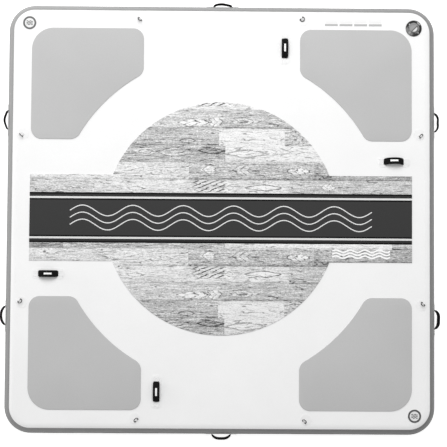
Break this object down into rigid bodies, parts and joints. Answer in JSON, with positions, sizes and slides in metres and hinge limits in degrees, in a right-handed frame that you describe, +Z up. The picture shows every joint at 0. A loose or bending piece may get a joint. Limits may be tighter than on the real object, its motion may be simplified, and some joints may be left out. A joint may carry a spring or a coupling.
{
  "type": "inflatable swim platform",
  "caption": "Square inflatable drop-stitch swim platform with foam deck pads, corner inflation valve, tie-down D-rings and padded grab handles.",
  "frame": {"origin": "centre of the flat underside", "axes": "+Z up through the deck, +X to the right and +Y to the rear edge, so that the valve is in the rear right corner"},
  "size_m": [3.1304, 3.1304, 0.1934],
  "materials": {
    "top_skin": "white laminated PVC drop-stitch fabric with a fine cross-hatch",
    "bottom_skin": "light grey laminated PVC drop-stitch fabric",
    "side_skin": "grey laminated PVC strip",
    "seam_tape": "PVC seam tape",
    "yarn": "polyester yarn",
    "grey_foam": "light grey EVA foam with a fine brushed texture",
    "wood_foam": "EVA foam printed with weathered grey planks",
    "stripe_foam": "EVA foam printed charcoal with fine white and black border lines",
    "badge": "printed vinyl disc with a plain wave motif",
    "patch": "white PVC patch",
    "side_patch": "grey PVC patch",
    "ring_webbing": "white polyester webbing",
    "steel": "polished stainless wire",
    "strap": "black polyester webbing",
    "grip": "black padded sleeve",
    "valve_dark": "black moulded nylon",
    "valve_grey": "grey moulded nylon",
    "valve_rubber": "black silicone",
    "spring": "spring wire"
  },
  "bodies": {
    "platform": {"top_panel": "top_skin", "bottom_panel": "bottom_skin", "side_wall": "side_skin", "upper_seam_tape": "seam_tape", "lower_seam_tape": "seam_tape", "drop_stitch_yarns": "yarn", "corner_pad_rear_right": "grey_foam", "corner_pad_rear_left": "grey_foam", "corner_pad_front_left": "grey_foam", "corner_pad_front_right": "grey_foam", "wood_pad_rear": "wood_foam", "stripe_pad": "stripe_foam", "wood_pad_front": "wood_foam", "round_badges": "badge", "valve_body": "valve_dark", "valve_gasket": "valve_rubber", "valve_back_nut": "valve_dark", "valve_leash_pin": "steel", "valve_spring": "spring", "d_ring_patches": "patch", "d_ring_tabs": "ring_webbing", "deck_handle_patches": "patch", "side_handle_patches": "side_patch"},
    "cap_leash": {"valve_leash": "valve_grey"},
    "cap": {"valve_cap": "valve_grey", "valve_cap_seal": "valve_rubber"},
    "valve_plunger": {"valve_seal_disc": "valve_rubber"},
    "valve_stem": {"valve_stem": "valve_grey"},
    "d_ring_left_rear": {"d_ring_left_rear": "steel"},
    "d_ring_rear_left": {"d_ring_rear_left": "steel"},
    "d_ring_rear_right": {"d_ring_rear_right": "steel"},
    "d_ring_right_rear": {"d_ring_right_rear": "steel"},
    "d_ring_right_front": {"d_ring_right_front": "steel"},
    "d_ring_front_right": {"d_ring_front_right": "steel"},
    "d_ring_front_left": {"d_ring_front_left": "steel"},
    "d_ring_left_front": {"d_ring_left_front": "steel"},
    "deck_handle_rear": {"deck_handle_rear_webbing": "strap", "deck_handle_rear_grip": "grip"},
    "deck_handle_right": {"deck_handle_right_webbing": "strap", "deck_handle_right_grip": "grip"},
    "deck_handle_front": {"deck_handle_front_webbing": "strap", "deck_handle_front_grip": "grip"},
    "deck_handle_left": {"deck_handle_left_webbing": "strap", "deck_handle_left_grip": "grip"},
    "side_handle_left_rear": {"side_handle_left_rear_webbing": "strap", "side_handle_left_rear_grip": "grip"},
    "side_handle_left_front": {"side_handle_left_front_webbing": "strap", "side_handle_left_front_grip": "grip"},
    "side_handle_right_rear": {"side_handle_right_rear_webbing": "strap", "side_handle_right_rear_grip": "grip"},
    "side_handle_right_front": {"side_handle_right_front_webbing": "strap", "side_handle_right_front_grip": "grip"},
    "side_handle_rear": {"side_handle_rear_webbing": "strap", "side_handle_rear_grip": "grip"},
    "side_handle_front": {"side_handle_front_webbing": "strap", "side_handle_front_grip": "grip"}
  },
  "joints": [
    {"name": "cap_swing", "type": "hinge", "parent": "platform", "child": "cap_leash", "pos_m": [1.33364, 1.33364, 0.1619], "axis": [0.7071, -0.7071, 0], "range_deg": [0, 150]},
    {"name": "cap_turn", "type": "hinge", "parent": "cap_leash", "child": "cap", "pos_m": [1.369, 1.369, 0.165], "axis": [0, 0, 1], "range_deg": [0, 90]},
    {"name": "valve_push", "type": "slide", "parent": "platform", "child": "valve_plunger", "axis": [0, 0, -1], "range_m": [0, 0.006], "stiffness_N_per_m": 300, "springref_m": -0.01, "deforming": ["valve_spring"]},
    {"name": "valve_lock", "type": "hinge", "parent": "valve_plunger", "child": "valve_stem", "pos_m": [1.369, 1.369, 0.14], "axis": [0, 0, 1], "range_deg": [0, 90]},
    {"name": "d_ring_left_rear_swing", "type": "hinge", "parent": "platform", "child": "d_ring_left_rear", "pos_m": [-1.421, 0.582, 0.1579], "axis": [-0.7071, 0.7071, 0], "range_deg": [-90, 90]},
    {"name": "d_ring_rear_left_swing", "type": "hinge", "parent": "platform", "child": "d_ring_rear_left", "pos_m": [-0.584, 1.422, 0.1579], "axis": [0.7071, -0.7071, 0], "range_deg": [-128, 52]},
    {"name": "d_ring_rear_right_swing", "type": "hinge", "parent": "platform", "child": "d_ring_rear_right", "pos_m": [0.565, 1.436, 0.1579], "axis": [0.7071, 0.7071, 0], "range_deg": [-180, 0]},
    {"name": "d_ring_right_rear_swing", "type": "hinge", "parent": "platform", "child": "d_ring_right_rear", "pos_m": [1.424, 0.592, 0.1579], "axis": [-0.7071, -0.7071, 0], "range_deg": [-124, 56]},
    {"name": "d_ring_right_front_swing", "type": "hinge", "parent": "platform", "child": "d_ring_right_front", "pos_m": [1.436, -0.594, 0.1579], "axis": [0.7071, -0.7071, 0], "range_deg": [-134, 46]},
    {"name": "d_ring_front_right_swing", "type": "hinge", "parent": "platform", "child": "d_ring_front_right", "pos_m": [0.592, -1.432, 0.1579], "axis": [-0.7071, 0.7071, 0], "range_deg": [-130, 50]},
    {"name": "d_ring_front_left_swing", "type": "hinge", "parent": "platform", "child": "d_ring_front_left", "pos_m": [-0.584, -1.428, 0.1579], "axis": [-0.7071, -0.7071, 0], "range_deg": [-136, 44]},
    {"name": "d_ring_left_front_swing", "type": "hinge", "parent": "platform", "child": "d_ring_left_front", "pos_m": [-1.42, -0.588, 0.1579], "axis": [0.7071, 0.7071, 0], "range_deg": [-150, 30]},
    {"name": "deck_handle_rear_lean", "type": "hinge", "parent": "platform", "child": "deck_handle_rear", "pos_m": [0.448, 1.218, 0.1539], "axis": [0, 1, 0], "range_deg": [-30, 30], "stiffness_Nm_per_rad": 0.6},
    {"name": "deck_handle_right_lean", "type": "hinge", "parent": "platform", "child": "deck_handle_right", "pos_m": [1.226, 0.411, 0.1539], "axis": [1, 0, 0], "range_deg": [-30, 30], "stiffness_Nm_per_rad": 0.6},
    {"name": "deck_handle_front_lean", "type": "hinge", "parent": "platform", "child": "deck_handle_front", "pos_m": [-0.448, -1.225, 0.1539], "axis": [0, 1, 0], "range_deg": [-30, 30], "stiffness_Nm_per_rad": 0.6},
    {"name": "deck_handle_left_lean", "type": "hinge", "parent": "platform", "child": "deck_handle_left", "pos_m": [-1.218, -0.399, 0.1539], "axis": [1, 0, 0], "range_deg": [-30, 30], "stiffness_Nm_per_rad": 0.6},
    {"name": "side_handle_left_rear_lean", "type": "hinge", "parent": "platform", "child": "side_handle_left_rear", "pos_m": [-1.5257, 0.699, 0.0762], "axis": [0, 1, 0], "range_deg": [-30, 30], "stiffness_Nm_per_rad": 0.6},
    {"name": "side_handle_left_front_lean", "type": "hinge", "parent": "platform", "child": "side_handle_left_front", "pos_m": [-1.5257, -0.697, 0.0762], "axis": [0, 1, 0], "range_deg": [-30, 30], "stiffness_Nm_per_rad": 0.6},
    {"name": "side_handle_right_rear_lean", "type": "hinge", "parent": "platform", "child": "side_handle_right_rear", "pos_m": [1.5257, 0.701, 0.0762], "axis": [0, -1, 0], "range_deg": [-30, 30], "stiffness_Nm_per_rad": 0.6},
    {"name": "side_handle_right_front_lean", "type": "hinge", "parent": "platform", "child": "side_handle_right_front", "pos_m": [1.5257, -0.709, 0.0762], "axis": [0, -1, 0], "range_deg": [-30, 30], "stiffness_Nm_per_rad": 0.6},
    {"name": "side_handle_rear_lean", "type": "hinge", "parent": "platform", "child": "side_handle_rear", "pos_m": [0.005, 1.5257, 0.0762], "axis": [1, 0, 0], "range_deg": [-30, 30], "stiffness_Nm_per_rad": 0.6},
    {"name": "side_handle_front_lean", "type": "hinge", "parent": "platform", "child": "side_handle_front", "pos_m": [0.011, -1.5257, 0.0762], "axis": [-1, 0, 0], "range_deg": [-30, 30], "stiffness_Nm_per_rad": 0.6}
  ]
}
